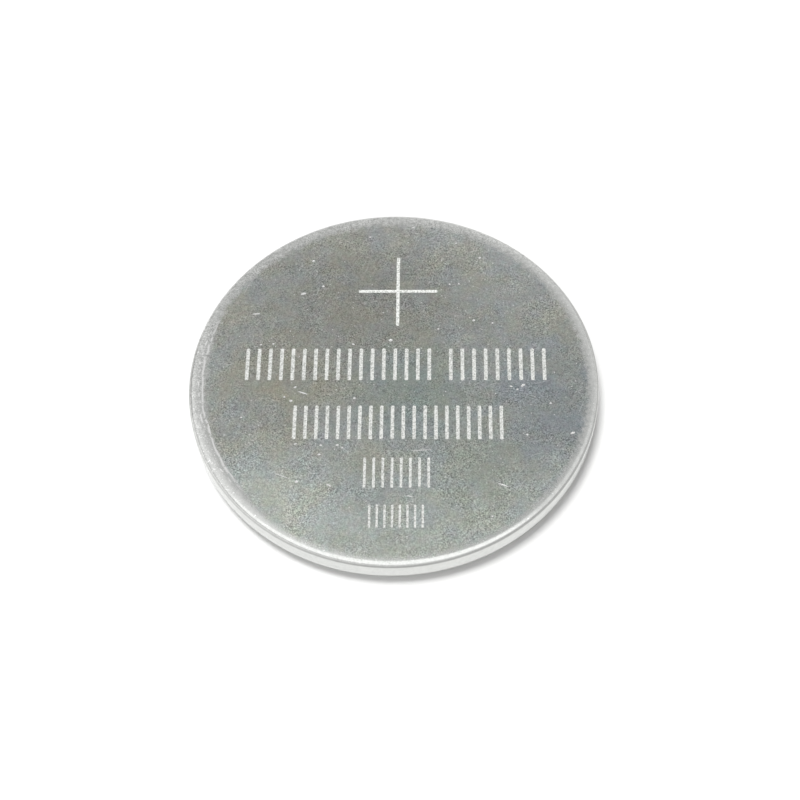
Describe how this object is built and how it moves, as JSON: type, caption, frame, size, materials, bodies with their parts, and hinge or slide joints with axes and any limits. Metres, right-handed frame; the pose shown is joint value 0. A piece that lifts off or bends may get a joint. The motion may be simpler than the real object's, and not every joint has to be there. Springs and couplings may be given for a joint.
{
  "type": "lithium coin cell",
  "caption": "Flat round lithium cell: a crimped steel can with a marked positive face, a sealing ring, a raised negative cap and the electrode stack inside.",
  "frame": {"origin": "centre of the negative contact face, on which the cell rests", "axes": "+Z along the cell's axis from the negative face to the positive face; +Y towards the far edge, where the plus sign is; +X to the right as the marks are read"},
  "size_m": [0.02, 0.02, 0.002],
  "materials": {
    "can_metal": "nickel plated, matte grained face, bright worn edge",
    "cap_metal": "nickel plated, satin",
    "gasket_plastic": "natural polypropylene, slightly translucent",
    "cathode_mix": "pressed powder, dull",
    "collector_metal": "expanded and flattened",
    "separator_sheet": "non-woven",
    "lithium_metal": "soft rolled foil, dulled"
  },
  "bodies": {
    "root": {"positive_can": "can_metal", "negative_cap": "cap_metal", "gasket": "gasket_plastic", "cathode_pellet": "cathode_mix", "collector_grid": "collector_metal", "separator": "separator_sheet", "lithium_anode": "lithium_metal"}
  },
  "joints": []
}
